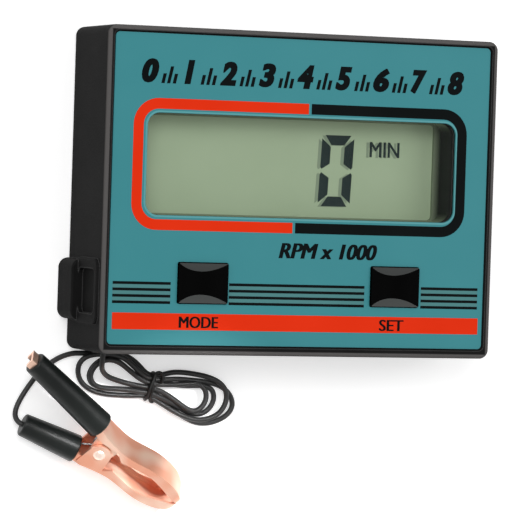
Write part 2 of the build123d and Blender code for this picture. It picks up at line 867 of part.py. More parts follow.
def write(nodes):
    """Each node to its own STEP file."""
    os.makedirs("parts", exist_ok=True)
    for name, shape in nodes.items():
        solids = shape if isinstance(shape, list) else [shape]
        export_step(Compound(children=[s for part in solids for s in part.solids()]), f"parts/{name}.step")


if __name__ == "__main__":
    write(build_nodes())
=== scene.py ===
import json
import math

import bmesh
import bpy
from mathutils import Matrix, Vector


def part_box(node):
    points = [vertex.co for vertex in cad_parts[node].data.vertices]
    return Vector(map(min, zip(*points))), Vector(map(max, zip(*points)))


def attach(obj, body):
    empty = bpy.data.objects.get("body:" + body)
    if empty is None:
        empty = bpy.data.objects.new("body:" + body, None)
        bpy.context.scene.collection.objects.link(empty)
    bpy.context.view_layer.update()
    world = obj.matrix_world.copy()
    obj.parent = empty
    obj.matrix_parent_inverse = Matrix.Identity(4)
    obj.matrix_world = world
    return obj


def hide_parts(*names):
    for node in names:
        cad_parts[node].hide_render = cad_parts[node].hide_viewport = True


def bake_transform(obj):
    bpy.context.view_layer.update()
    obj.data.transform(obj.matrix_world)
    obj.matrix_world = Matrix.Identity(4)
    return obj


# Looks of a small engine tachometer, its pick-up lead and its spring clip.
# Sizes and places below are in millimetres in the model's own frame, and MM turns them into metres.
MM = 0.001

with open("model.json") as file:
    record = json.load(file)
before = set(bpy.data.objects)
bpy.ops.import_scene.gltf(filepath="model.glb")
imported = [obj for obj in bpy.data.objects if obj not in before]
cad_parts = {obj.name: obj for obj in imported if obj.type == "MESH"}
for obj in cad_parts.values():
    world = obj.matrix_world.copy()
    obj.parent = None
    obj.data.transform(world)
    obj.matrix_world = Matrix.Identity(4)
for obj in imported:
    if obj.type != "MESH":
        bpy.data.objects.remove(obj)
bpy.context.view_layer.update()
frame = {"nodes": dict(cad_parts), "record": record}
nodes = frame["nodes"]
slot_of = {part["node"]: part["material_slot"] for part in frame["record"]["subparts"]}


# Camera

camera_place = (-318.6, 3.8, 814.2)
camera_look = (0.3636, -0.0230, -0.9313)
camera_up = (-0.0214, 0.9992, -0.0330)
camera_lens = 247.73
camera_sensor = 36.0


def add_camera():
    """The camera, at the place and with the lens that were worked out from the housing's corners."""
    data = bpy.data.cameras.new("camera")
    data.lens = camera_lens
    data.sensor_width = camera_sensor
    look = Vector(camera_look).normalized()
    right = look.cross(Vector(camera_up)).normalized()
    up = right.cross(look)
    turn = Matrix((right, up, -look)).transposed().to_4x4()
    camera = bpy.data.objects.new("camera", data)
    camera.matrix_world = Matrix.Translation(Vector(camera_place) * MM) @ turn
    bpy.context.scene.collection.objects.link(camera)
    bpy.context.scene.camera = camera


add_camera()


# Lead: one cord from the gland, through the hank's turns, to the clip

cord_d = 1.3
curve_steps = 10
bevel_steps = 4
# The hank's waist, where the tie holds it, with the heights of its two layers of strands
waist = Vector((-29.0, -47.5, 0.0))
waist_turn = math.radians(-12.0)
waist_reach = 1.3
low_layer = 1.35
high_layer = 2.4
along_waist = Vector((math.cos(waist_turn), math.sin(waist_turn), 0.0))
across_waist = Vector((-math.sin(waist_turn), math.cos(waist_turn), 0.0))


def tied(across, height, leftwards=False):
    """The two points of one pass through the tie, that far across the waist."""
    steps = (waist_reach, -waist_reach) if leftwards else (-waist_reach, waist_reach)
    middle = waist + across * across_waist + Vector((0, 0, height))
    return [tuple(middle + step * along_waist) for step in steps]


gland_run = [
    (-42.9, -39.1, 7.0), (-42.9, -40.6, 7.0), (-42.8, -42.0, 6.3), (-42.3, -43.2, 5.0),
    (-41.3, -44.3, 3.9), (-39.8, -45.2, 3.0), (-37.6, -45.9, 2.4), (-35.0, -46.6, 2.2),
    (-32.6, -47.1, 2.3),
]
inner_right_turn = [
    (-25.3, -48.9, 2.3), (-22.6, -50.6, 2.4), (-20.2, -52.3, 2.5), (-18.4, -53.2, 2.5),
    (-16.8, -53.1, 2.5), (-15.4, -52.0, 2.5), (-14.6, -50.4, 2.5), (-14.6, -48.8, 2.5),
    (-15.3, -47.4, 2.4), (-16.8, -46.6, 2.3), (-18.9, -46.5, 2.25), (-21.4, -46.8, 2.25),
    (-24.1, -46.9, 2.35),
]
top_left_turn = [
    (-32.2, -45.2, 2.4), (-34.4, -43.5, 2.2), (-36.5, -41.9, 2.2), (-38.5, -41.1, 2.5),
    (-40.6, -41.0, 2.6), (-42.4, -41.8, 2.5), (-43.7, -43.2, 2.3), (-44.3, -45.0, 2.1),
    (-43.6, -46.8, 2.0), (-41.7, -47.8, 1.95), (-39.0, -48.0, 1.95), (-36.0, -48.1, 2.0),
    (-33.2, -48.4, 2.25),
]
middle_right_turn = [
    (-25.5, -50.3, 2.3), (-23.4, -51.3, 1.9), (-21.2, -52.4, 1.3), (-18.8, -53.6, 0.9),
    (-16.2, -54.2, 0.75), (-13.9, -53.5, 0.7), (-12.4, -51.9, 0.7), (-11.8, -49.9, 0.7),
    (-12.4, -48.1, 0.8), (-14.1, -47.2, 1.0), (-16.8, -47.1, 1.0), (-19.4, -47.2, 0.95),
    (-22.0, -47.0, 1.05), (-24.6, -46.7, 1.25),
]
inner_left_turn = [
    (-32.2, -44.9, 1.0), (-34.4, -43.2, 0.8), (-36.5, -41.6, 0.9), (-38.5, -40.8, 1.2),
    (-40.6, -40.8, 1.3), (-42.4, -41.8, 1.2), (-43.7, -43.3, 1.0), (-44.2, -45.0, 0.8),
    (-43.5, -46.7, 0.7), (-41.7, -47.7, 0.65), (-39.0, -48.0, 0.65), (-36.0, -48.1, 0.7),
    (-33.2, -48.2, 0.95),
]
far_right_turn = [
    (-25.8, -50.3, 1.0), (-23.4, -52.3, 0.75), (-20.2, -54.5, 0.7), (-16.6, -56.2, 0.65),
    (-13.2, -56.3, 0.65), (-10.2, -55.4, 0.65), (-7.9, -53.9, 0.65), (-6.9, -51.9, 0.65),
    (-7.4, -49.8, 0.7), (-8.9, -48.0, 0.7), (-11.2, -46.8, 0.75), (-14.4, -46.1, 0.8),
    (-17.8, -45.8, 1.0), (-21.4, -45.5, 1.7), (-24.6, -45.6, 2.2),
]
outer_left_turn = [
    (-32.0, -43.7, 2.1), (-33.9, -41.9, 1.9), (-35.8, -40.5, 1.9), (-38.3, -39.9, 2.0),
    (-41.0, -39.7, 2.0), (-43.7, -39.8, 2.0), (-45.7, -40.6, 1.6), (-46.9, -42.2, 1.1),
    (-47.0, -44.4, 0.75), (-46.0, -46.7, 0.65), (-43.7, -48.4, 0.65), (-40.6, -49.3, 0.65),
    (-37.0, -49.6, 0.7), (-33.4, -49.7, 0.95),
]
outer_right_turn = [
    (-25.2, -51.8, 1.6), (-22.4, -53.5, 1.95), (-19.4, -54.8, 2.0), (-16.2, -55.5, 1.95),
    (-13.2, -55.0, 1.95), (-10.9, -53.8, 1.95), (-9.5, -51.9, 1.95), (-9.0, -49.7, 2.0),
    (-9.6, -47.6, 2.1), (-11.3, -46.0, 2.1), (-14.0, -44.9, 1.95), (-17.0, -44.3, 1.6),
    (-20.2, -43.9, 1.2), (-23.2, -43.9, 1.1),
]
wall_run = [
    (-31.6, -42.2, 0.8), (-33.6, -40.6, 0.65), (-36.4, -39.6, 0.65), (-39.6, -39.3, 0.65),
    (-42.8, -39.4, 0.7),
]
clip_run = [
    (-45.6, -39.6, 0.75), (-48.6, -39.6, 0.75), (-51.9, -40.7, 0.7), (-55.1, -42.9, 0.7),
    (-57.6, -45.5, 0.7), (-59.6, -48.2, 0.7), (-61.15, -50.7, 0.7), (-62.15, -52.75, 0.85),
    (-62.55, -54.25, 1.3), (-62.45, -55.25, 1.8), (-62.07, -55.94, 2.3), (-61.51, -56.43, 2.69),
    (-60.6, -56.82, 2.77),
]
cord_route = (
    gland_run + tied(-0.2, high_layer)
    + inner_right_turn + tied(0.95, high_layer, leftwards=True)
    + top_left_turn + tied(-1.45, high_layer)
    + middle_right_turn + tied(1.3, low_layer, leftwards=True)
    + inner_left_turn + tied(-1.0, low_layer)
    + far_right_turn + tied(2.1, high_layer, leftwards=True)
    + outer_left_turn + tied(-2.35, low_layer)
    + outer_right_turn + tied(2.9, low_layer, leftwards=True)
    + wall_run + clip_run
)


def smooth_line(name, points, thickness):
    """A round line of that thickness, on a smooth curve that the points control.

    The points carry the radius and the bevel is 1, so that the curve's box is the tube's own.
    """
    curve = bpy.data.curves.new(name, "CURVE")
    curve.dimensions = "3D"
    spline = curve.splines.new("NURBS")
    spline.points.add(len(points) - 1)
    for control, point in zip(spline.points, points):
        control.co = (*(Vector(point) * MM), 1.0)
        control.radius = thickness / 2 * MM
    spline.order_u = 3
    spline.use_endpoint_u = True
    spline.resolution_u = curve_steps
    curve.bevel_depth = 1.0
    curve.bevel_resolution = bevel_steps
    curve.use_fill_caps = True
    line = bpy.data.objects.new(name, curve)
    bpy.context.scene.collection.objects.link(line)
    return line


cord = smooth_line("lead_cord", cord_route, cord_d)
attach(cord, "root")
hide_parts("lead_to_hank", "lead_hank", "lead_to_clip")


# Tie: a thin coated wire round the waist, twisted into an eye above and hooked under below

tie_d = 0.8
tie_squeeze = (0.7, 0.88)
tie_route = [
    (3.2, 1.9, 3.3), (3.3, 2.9, 3.8), (2.6, 4.2, 3.9), (1.2, 4.6, 3.7), (0.1, 3.8, 3.5),
    (0.1, 2.6, 3.6), (-0.3, 1.2, 3.7), (-0.5, -0.4, 3.6), (-0.5, -1.9, 3.0), (-0.4, -3.1, 2.4),
    (-0.3, -3.7, 1.5), (-0.2, -3.5, 0.6), (0.0, -2.2, 0.42), (0.1, 0.0, 0.42), (0.2, 2.2, 0.42),
    (0.2, 3.6, 0.55), (0.3, 4.2, 1.4), (0.3, 3.9, 2.5), (0.3, 2.6, 3.3), (0.5, 0.9, 3.8),
    (0.5, -0.7, 3.5), (0.7, -2.2, 2.8), (1.1, -3.4, 2.0), (1.9, -3.9, 1.3), (2.8, -3.7, 1.1),
]


def waist_point(point):
    """A point given along and across the waist, in the model's frame."""
    along, across, height = point
    sideways = tie_squeeze[0] * along * along_waist
    upwards = tie_squeeze[1] * across * across_waist
    return tuple(waist + sideways + upwards + Vector((0, 0, height)))


tie = smooth_line("tie_wire", [waist_point(point) for point in tie_route], tie_d)
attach(tie, "root")
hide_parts("hank_tie")


# Clip spring: a copy of the coil, in place of the part's own, which is hidden


def add_spring():
    """A copy of the clip's coil in its place, with the part's own spring hidden."""
    node = nodes["clip_spring"]
    mesh = node.data.copy()
    mesh.transform(node.matrix_world)
    spring = bpy.data.objects.new("spring_coil", mesh)
    bpy.context.scene.collection.objects.link(spring)
    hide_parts("clip_spring")
    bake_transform(spring)
    return spring


spring = add_spring()


# Materials

# The front rim's outer half, by its half width and half height, and the heights where it starts: there
# the housing gets a painted highlight
rim_half_x = 49.1
rim_half_y = 37.6
rim_fade = 0.25
rim_heights = (24.2, 24.7)
# How much a rounded normal still agrees with the flat one on a sharp edge, and away from it
edge_turns = (0.86, 0.985)
mask_samples = 6
bump_samples = 4
# A colour's patches are that many times as wide as the grain
drift_cells = 30
# Where the display frame's walls turn from the display's colour to black, as painted shade at the
# frame's right end
painted_shade_reach = (37.5, 39.4)
# The normals on the slopes of the keys' dishes, where a painted highlight goes
slope_sideways = (0.4, 0.5)
slope_upwards = (0.2, 0.3)


def new_material(name, colour, roughness, metallic=0.0, specular=0.5):
    """A material with its uniform numbers on the shader's own sockets."""
    material = bpy.data.materials.new(name)
    material.use_nodes = True
    shader = material.node_tree.nodes["Principled BSDF"]
    shader.inputs["Base Color"].default_value = (*colour, 1.0)
    shader.inputs["Roughness"].default_value = roughness
    shader.inputs["Metallic"].default_value = metallic
    shader.inputs["Specular IOR Level"].default_value = specular
    return material, shader


def noise(material, cell, detail=2.0):
    """A noise with cells of about that many millimetres, in the object's own space."""
    tree = material.node_tree
    place = tree.nodes.new("ShaderNodeTexCoord")
    texture = tree.nodes.new("ShaderNodeTexNoise")
    texture.inputs["Scale"].default_value = 1.0 / (cell * MM)
    texture.inputs["Detail"].default_value = detail
    tree.links.new(place.outputs["Object"], texture.inputs["Vector"])
    return texture.outputs["Fac"]


def coordinates(owner, kind="Object"):
    """X, Y and Z of these texture coordinates, for a material or the world."""
    tree = owner.node_tree
    place = tree.nodes.new("ShaderNodeTexCoord")
    split = tree.nodes.new("ShaderNodeSeparateXYZ")
    tree.links.new(place.outputs[kind], split.inputs["Vector"])
    return split.outputs


def maths(owner, operation, *values):
    """What a math node makes of these values, each a number or another node's output."""
    node = owner.node_tree.nodes.new("ShaderNodeMath")
    node.operation = operation
    for socket, value in zip(node.inputs, values):
        if isinstance(value, float):
            socket.default_value = value
        else:
            owner.node_tree.links.new(value, socket)
    return node.outputs["Value"]


def remap(owner, value, low, high, start=0.3, end=0.7):
    """Low where the value is start, high where it is end, and even in between.

    A noise mostly runs from 0.3 to 0.7.
    """
    node = owner.node_tree.nodes.new("ShaderNodeMapRange")
    node.inputs["From Min"].default_value = start
    node.inputs["From Max"].default_value = end
    node.inputs["To Min"].default_value = low
    node.inputs["To Max"].default_value = high
    owner.node_tree.links.new(value, node.inputs["Value"])
    return node.outputs["Result"]


def mask(owner, value, start, end):
    """0 where the value is up to start, and 1 from end on."""
    return remap(owner, value, 0.0, 1.0, start, end)


def two_colours(material, factor, first, second):
    """The first colour where the factor is 0, and the second where it is 1."""
    node = material.node_tree.nodes.new("ShaderNodeMix")
    node.data_type = "RGBA"
    node.inputs["A"].default_value = (*first, 1.0)
    node.inputs["B"].default_value = (*second, 1.0)
    material.node_tree.links.new(factor, node.inputs["Factor"])
    return node.outputs["Result"]


def tinted(material, factor, under, colour):
    """The colour underneath where the factor is 0, and this colour where it is 1."""
    node = material.node_tree.nodes.new("ShaderNodeMix")
    node.data_type = "RGBA"
    node.inputs["B"].default_value = (*colour, 1.0)
    material.node_tree.links.new(factor, node.inputs["Factor"])
    material.node_tree.links.new(under, node.inputs["A"])
    return node.outputs["Result"]


def add_bump(material, shader, height, depth, edge):
    """A bump that many millimetres deep. Sharp edges shade as rounded by edge, unless that is 0."""
    tree = material.node_tree
    bump = tree.nodes.new("ShaderNodeBump")
    bump.inputs["Distance"].default_value = depth * MM
    bump.inputs["Strength"].default_value = 1.0
    tree.links.new(height, bump.inputs["Height"])
    if edge:
        rounded = tree.nodes.new("ShaderNodeBevel")
        rounded.samples = bump_samples
        rounded.inputs["Radius"].default_value = edge * MM
        tree.links.new(rounded.outputs["Normal"], bump.inputs["Normal"])
    tree.links.new(bump.outputs["Normal"], shader.inputs["Normal"])


def surface(name, colour, other, roughness, spread, grain, depth, metallic=0.0, specular=0.5, edge=0.1):
    """A finish whose colour and roughness drift over the surface, with a fine grain in relief.

    The roughness varies by the spread both ways. Grain, depth and edge are in millimetres.
    """
    material, shader = new_material(name, colour, roughness, metallic, specular)
    tree = material.node_tree
    drift = remap(material, noise(material, grain * drift_cells), 0.0, 1.0)
    tree.links.new(two_colours(material, drift, colour, other), shader.inputs["Base Color"])
    fine = noise(material, grain, detail=3.0)
    rough = remap(material, fine, roughness - spread, roughness + spread)
    tree.links.new(rough, shader.inputs["Roughness"])
    add_bump(material, shader, fine, depth, edge)
    return material


def rim_mask(material):
    """1 on the outer half of the front rim, where the housing gets a painted highlight, and 0
    elsewhere.
    """
    place = coordinates(material)
    sides = []
    for axis, high in (("X", rim_half_x), ("Y", rim_half_y)):
        off = maths(material, "ABSOLUTE", place[axis])
        sides.append(mask(material, off, (high - rim_fade) * MM, high * MM))
    outer = maths(material, "MAXIMUM", *sides)
    front = mask(material, place["Z"], *(z * MM for z in rim_heights))
    return maths(material, "MULTIPLY", outer, front)


def edge_mask(material, reach):
    """1 along sharp edges and 0 away from them, fading over about that many millimetres; the housing
    paints a highlight with it.
    """
    tree = material.node_tree
    rounded = tree.nodes.new("ShaderNodeBevel")
    rounded.samples = mask_samples
    rounded.inputs["Radius"].default_value = reach * MM
    flat = tree.nodes.new("ShaderNodeNewGeometry")
    turned = tree.nodes.new("ShaderNodeVectorMath")
    turned.operation = "DOT_PRODUCT"
    tree.links.new(rounded.outputs["Normal"], turned.inputs[0])
    tree.links.new(flat.outputs["Normal"], turned.inputs[1])
    return remap(material, turned.outputs["Value"], 1.0, 0.0, *edge_turns)


def housing_finish():
    """Moulded black plastic with a fine grain, a little lighter on its edges and its front rim as a
    painted highlight.
    """
    darker, lighter = (0.0098, 0.0098, 0.0098), (0.013, 0.0129, 0.0128)
    # Painted highlights: a lighter gray along the sharp edges and a lighter gray on the front rim
    edge_highlight_gray, rim_highlight_gray = (0.065, 0.065, 0.065), (0.104, 0.099, 0.097)
    material, shader = new_material("housing_finish", lighter, roughness=0.6, specular=0.02)
    tree = material.node_tree
    drift = remap(material, noise(material, cell=9.0), 0.0, 1.0)
    plain = two_colours(material, drift, darker, lighter)
    walls = tinted(material, edge_mask(material, reach=0.5), plain, edge_highlight_gray)
    front = tinted(material, rim_mask(material), walls, rim_highlight_gray)
    tree.links.new(front, shader.inputs["Base Color"])
    fine = noise(material, cell=0.35, detail=3.0)
    tree.links.new(remap(material, fine, low=0.52, high=0.68), shader.inputs["Roughness"])
    add_bump(material, shader, fine, depth=0.02, edge=0.15)
    return material


def display_frame_finish():
    """Black frame whose walls are painted the display's colour, and fade to black at its right end as
    painted shade.
    """
    # The display's green painted on the frame, turning to black as painted shade towards its right end
    painted_display_green, black = (0.2, 0.245, 0.165), (0.006, 0.011, 0.0065)
    material, shader = new_material("display_frame_finish", black, roughness=0.7, specular=0.08)
    painted_shade_fade = mask(material, coordinates(material)["X"], *(x * MM for x in painted_shade_reach))
    colour = two_colours(material, painted_shade_fade, painted_display_green, black)
    material.node_tree.links.new(colour, shader.inputs["Base Color"])
    return material


def key_finish():
    """Black keys, with a painted highlight that turns the two slopes at the dish's ends a dull gray."""
    # The gray is a painted highlight on the dish's upward slopes
    black, gray = (0.0012, 0.0012, 0.0012), (0.078, 0.083, 0.081)
    material, shader = new_material("key_finish", black, roughness=0.5, specular=0.02)
    normal = coordinates(material, "Normal")
    tilted = mask(material, maths(material, "ABSOLUTE", normal["Y"]), *slope_sideways)
    upward = mask(material, normal["Z"], *slope_upwards)
    slope_highlight = maths(material, "MULTIPLY", tilted, upward)
    colour = two_colours(material, slope_highlight, black, gray)
    material.node_tree.links.new(colour, shader.inputs["Base Color"])
    add_bump(material, shader, noise(material, cell=0.3), depth=0.01, edge=0.08)
    return material


def lens_finish():
    """Clear plastic: see-through, with a faint gloss that grows towards grazing views."""
    tint, haze = (0.975, 0.985, 0.975), 0.06
    least_gloss, most_gloss, growth = 0.012, 0.55, 5.0
    material = bpy.data.materials.new("lens_finish")
    material.use_nodes = True
    tree = material.node_tree
    tree.nodes.remove(tree.nodes["Principled BSDF"])
    clear = tree.nodes.new("ShaderNodeBsdfTransparent")
    clear.inputs["Color"].default_value = (*tint, 1.0)
    gloss = tree.nodes.new("ShaderNodeBsdfGlossy")
    gloss.inputs["Roughness"].default_value = haze
    facing = tree.nodes.new("ShaderNodeLayerWeight")
    facing.inputs["Blend"].default_value = 0.5
    grazing = maths(material, "POWER", facing.outputs["Facing"], growth)
    share = remap(material, grazing, least_gloss, most_gloss, 0.0, 1.0)
    mix = tree.nodes.new("ShaderNodeMixShader")
    tree.links.new(share, mix.inputs["Fac"])
    tree.links.new(clear.outputs["BSDF"], mix.inputs[1])
    tree.links.new(gloss.outputs["BSDF"], mix.inputs[2])
    tree.links.new(mix.outputs["Shader"], tree.nodes["Material Output"].inputs["Surface"])
    return material


def plated_finish(name, first, second, metallic):
    """Plated sheet: warm and softly polished, with patches of a second colour."""
    material, shader = new_material(name, first, roughness=0.3, metallic=metallic)
    tree = material.node_tree
    patches = remap(material, noise(material, cell=5.0, detail=0.0), 0.0, 1.0)
    polish = remap(material, noise(material, cell=12.0, detail=1.0), low=0.27, high=0.33)
    tree.links.new(two_colours(material, patches, first, second), shader.inputs["Base Color"])
    tree.links.new(polish, shader.inputs["Roughness"])
    return material


finishes = {
    "housing": housing_finish(),
    "rear_cover": surface(
        "rear_cover_finish", (0.015, 0.015, 0.015), (0.02, 0.02, 0.02),
        roughness=0.6, spread=0.08, grain=0.35, depth=0.03, specular=0.3,
    ),
    "seal": surface(
        "seal_finish", (0.008, 0.008, 0.008), (0.012, 0.012, 0.012),
        roughness=0.7, spread=0.05, grain=0.2, depth=0.01,
    ),
    "screws": surface(
        "screw_finish", (0.55, 0.55, 0.56), (0.42, 0.42, 0.44),
        roughness=0.32, spread=0.08, grain=0.25, depth=0.004, metallic=1.0,
    ),
    "overlay": surface(
        "overlay_finish", (0.0335, 0.243, 0.273), (0.0375, 0.252, 0.282),
        roughness=0.42, spread=0.04, grain=0.5, depth=0.002, specular=0.3, edge=0.0,
    ),
    "lens": lens_finish(),
    "display_frame": display_frame_finish(),
    "display": surface(
        "display_finish", (0.395, 0.485, 0.332), (0.415, 0.505, 0.35),
        roughness=0.5, spread=0.05, grain=0.4, depth=0.001, specular=0.2, edge=0.0,
    ),
    "reflector": surface(
        "reflector_finish", (0.62, 0.65, 0.58), (0.66, 0.69, 0.62),
        roughness=0.5, spread=0.05, grain=0.3, depth=0.002,
    ),
    "contact_strips": surface(
        "contact_strip_finish", (0.65, 0.36, 0.34), (0.6, 0.33, 0.31),
        roughness=0.6, spread=0.05, grain=0.3, depth=0.01,
    ),
    "board": surface(
        "board_finish", (0.02, 0.13, 0.045), (0.03, 0.17, 0.06),
        roughness=0.35, spread=0.06, grain=0.6, depth=0.01,
    ),
    "chip": surface(
        "chip_finish", (0.018, 0.018, 0.018), (0.024, 0.024, 0.024),
        roughness=0.6, spread=0.06, grain=0.2, depth=0.01,
    ),
    "crystal_can": surface(
        "can_finish", (0.6, 0.6, 0.61), (0.52, 0.52, 0.53),
        roughness=0.3, spread=0.06, grain=0.3, depth=0.004, metallic=1.0,
    ),
    "cell_holder": surface(
        "cell_holder_finish", (0.035, 0.035, 0.035), (0.045, 0.045, 0.045),
        roughness=0.55, spread=0.06, grain=0.3, depth=0.02,
    ),
    "cell": surface(
        "cell_finish", (0.62, 0.62, 0.63), (0.54, 0.54, 0.55),
        roughness=0.28, spread=0.06, grain=0.25, depth=0.004, metallic=1.0,
    ),
    "gland": surface(
        "gland_finish", (0.012, 0.012, 0.012), (0.018, 0.018, 0.018),
        roughness=0.6, spread=0.06, grain=0.25, depth=0.01, specular=0.35,
    ),
    "lead": surface(
        "lead_finish", (0.02, 0.02, 0.02), (0.028, 0.028, 0.028),
        roughness=0.42, spread=0.06, grain=0.5, depth=0.012, specular=0.45, edge=0.0,
    ),
    "tie": surface(
        "tie_finish", (0.005, 0.005, 0.005), (0.009, 0.009, 0.009),
        roughness=0.45, spread=0.05, grain=0.3, depth=0.01, specular=0.35, edge=0.0,
    ),
    "keys": key_finish(),
    "switches": surface(
        "switch_finish", (0.03, 0.03, 0.03), (0.04, 0.04, 0.04),
        roughness=0.5, spread=0.06, grain=0.3, depth=0.01,
    ),
    "clip_metal": plated_finish("copper_finish", (1.0, 0.67, 0.52), (0.9, 0.41, 0.27), metallic=0.7),
    "spring_steel": surface(
        "spring_finish", (0.5, 0.5, 0.5), (0.4, 0.4, 0.4),
        roughness=0.3, spread=0.06, grain=0.3, depth=0.004, metallic=1.0,
    ),
    "grips": surface(
        "grip_finish", (0.0075, 0.0095, 0.0087), (0.0105, 0.013, 0.012),
        roughness=0.38, spread=0.05, grain=2.6, depth=0.12, specular=0.28, edge=0.4,
    ),
}


def dress(piece, material):
    """The piece wears only this material."""
    piece.data.materials.clear()
    piece.data.materials.append(material)


for name, node in nodes.items():
    dress(node, finishes[slot_of[name]])
dress(cord, finishes["lead"])
dress(tie, finishes["tie"])
dress(spring, finishes["spring_steel"])
rivet_finish = plated_finish("rivet_finish", (0.95, 0.76, 0.66), (0.9, 0.68, 0.57), metallic=0.6)
dress(nodes["clip_rivet"], rivet_finish)


# Print on the face: thin raised areas of ink

print_t = 0.03
bold_steps = (0.0, 0.5, 1.0)
bold_drop = 0.008
face_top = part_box("face_overlay")[1].z / MM
window_x = (-39.5, 39.5)
window_y = (-5.7, 18.3)
window_r = 3.0


def ink(name, colour, other, specular, roughness=0.42, depth=0.002):
    """A finish for thin printed areas."""
    return surface(
        name, colour, other, roughness, spread=0.04, grain=0.5, depth=depth,
        specular=specular, edge=0.0,
    )


ink_red = ink("red_ink", (0.78, 0.030, 0.004), (0.82, 0.034, 0.006), specular=0.04)
ink_black = ink("black_ink", (0.003, 0.0048, 0.0052), (0.0045, 0.0065, 0.007), specular=0.04)
ink_pale = ink("pale_ink", (0.10, 0.34, 0.36), (0.11, 0.36, 0.38), specular=0.2)
ink_gray = ink("gray_ink", (0.068, 0.22, 0.225), (0.075, 0.23, 0.235), specular=0.2)


def arc(centre, radius, start, end, steps=10):
    """Points along an arc, by its angles in degrees."""
    angles = [math.radians(start + (end - start) * k / steps) for k in range(steps + 1)]
    return [(centre[0] + radius * math.cos(a), centre[1] + radius * math.sin(a)) for a in angles]


def rectangle(x0, x1, y0, y1):
    """A rectangle's corners."""
    return [(x0, y0), (x1, y0), (x1, y1), (x0, y1)]


def add_piece(name, mesh, material):
    """The mesh as a piece of the housing, in this material."""
    piece = bpy.data.objects.new(name, mesh)
    bpy.context.scene.collection.objects.link(piece)
    dress(piece, material)
    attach(piece, "root")


def flat_piece(name, outlines, height, thickness, material):
    """Thin slabs with these outlines, standing on that height."""
    mesh = bpy.data.meshes.new(name)
    work = bmesh.new()
    for outline in outlines:
        corners = [work.verts.new((x * MM, y * MM, height * MM)) for x, y in outline]
        work.faces.new(corners)
    raised = bmesh.ops.extrude_face_region(work, geom=work.faces[:])
    top = [item for item in raised["geom"] if isinstance(item, bmesh.types.BMVert)]
    bmesh.ops.translate(work, verts=top, vec=(0, 0, thickness * MM))
    bmesh.ops.recalc_face_normals(work, faces=work.faces[:])
    bmesh.ops.triangulate(work, faces=work.faces[:])
    work.to_mesh(mesh)
    work.free()
    add_piece(name, mesh, material)


def printed(name, outlines, material, thickness=print_t):
    """Areas of ink with these outlines, on the face."""
    flat_piece(name, outlines, face_top, thickness, material)


def half_frame(side, outer, width, radius, top_end, bottom_end):
    """One half of a rounded frame: side is -1 for its left half and 1 for its right half.

    Outer has its far x and its lowest and highest y. The ends are the x where its bars stop.
    """
    x_far, y_low, y_high = outer
    bend_x = x_far - side * radius
    inner_r = radius - width
    if side < 0:
        upper, lower = (90, 180), (180, 270)
    else:
        upper, lower = (90, 0), (0, -90)
    points = [(top_end, y_high)] + arc((bend_x, y_high - radius), radius, *upper)
    points += arc((bend_x, y_low + radius), radius, *lower) + [(bottom_end, y_low)]
    points += [(bottom_end, y_low + width)]
    points += arc((bend_x, y_low + radius), inner_r, lower[1], lower[0])
    points += arc((bend_x, y_high - radius), inner_r, upper[1], upper[0])
    points += [(top_end, y_high - width)]
    return points


def window_line(reach, width):
    """A thin closed line round the window, as two halves, its outer edge that far outside it."""
    halves = []
    middle = (window_x[0] + window_x[1]) / 2
    for side, end in zip((-1, 1), window_x):
        outer = (end + side * reach, window_y[0] - reach, window_y[1] + reach)
        halves.append(half_frame(side, outer, width, window_r + reach, middle, middle))
    return halves


ring_w = 2.5
ring_r = 6.2
ring_x = (-43.0, 42.4)
ring_y = (-9.2, 21.7)
ring_left_ends = (1.0, -2.3)
ring_right_ends = (1.7, -1.6)
line_reach = 0.5
line_w = 0.42
ring_left = half_frame(-1, (ring_x[0], *ring_y), ring_w, ring_r, *ring_left_ends)
ring_right = half_frame(1, (ring_x[1], *ring_y), ring_w, ring_r, *ring_right_ends)
printed("ring_left", [ring_left], ink_red)
printed("ring_right", [ring_right], ink_black)
printed("window_line", window_line(line_reach, line_w), ink_pale)

stripe_t = 0.65
stripe_rows = (-21.7, -23.2, -24.7, -26.2)
stripe_spans = ((-47.0, -32.6), (-17.9, 16.8), (31.6, 46.6))
gap_half = 0.47
stripes = [
    rectangle(x0, x1, y - stripe_t / 2, y + stripe_t / 2)
    for x0, x1 in stripe_spans for y in stripe_rows
]
printed("stripes", stripes, ink_black)
gap_rows = [(upper + lower) / 2 for upper, lower in zip(stripe_rows, stripe_rows[1:])]
between = [
    rectangle(x0, x1, y - gap_half, y + gap_half) for x0, x1 in stripe_spans for y in gap_rows
]
printed("stripe_gaps", between, ink_gray, print_t / 2)

band_x = (-46.9, 46.9)
band_y = (-32.6, -28.7)
printed("key_band", [rectangle(*band_x, *band_y)], ink_red)


def lettering(name, words, box, height, material, bold, slant=0.0, weight=0.0):
    """Flat letters that fill a box, from x0 to x1 and y0 to y1, as a thin mesh.

    Weight fattens each outline. Bold lays copies of the letters side by side over that distance,
    each a little lower, so that no two tops share a plane.
    """
    x0, x1, y0, y1 = box
    text = bpy.data.curves.new(name + "_text", "FONT")
    text.body = words
    text.size = 1.0
    text.shear = slant
    text.offset = weight
    text.extrude = 0.5
    text.resolution_u = 4
    source = bpy.data.objects.new(name + "_text", text)
    bpy.context.scene.collection.objects.link(source)
    bpy.context.view_layer.update()
    mesh = bpy.data.meshes.new_from_object(source)
    bpy.data.objects.remove(source)
    lows = [min(v.co[k] for v in mesh.vertices) for k in range(3)]
    highs = [max(v.co[k] for v in mesh.vertices) for k in range(3)]
    scales = [(x1 - bold - x0) / (highs[0] - lows[0]), (y1 - y0) / (highs[1] - lows[1]), print_t]
    starts = (x0, y0, height)
    for vertex in mesh.vertices:
        for k in range(3):
            vertex.co[k] = (starts[k] + (vertex.co[k] - lows[k]) * scales[k]) * MM
    work = bmesh.new()
    for step in bold_steps:
        before = len(work.verts)
        work.from_mesh(mesh)
        work.verts.ensure_lookup_table()
        aside = (bold * step * MM, 0, -bold_drop * step * MM)
        bmesh.ops.translate(work, verts=work.verts[before:], vec=aside)
    work.to_mesh(mesh)
    work.free()
    mesh.name = name
    add_piece(name, mesh, material)


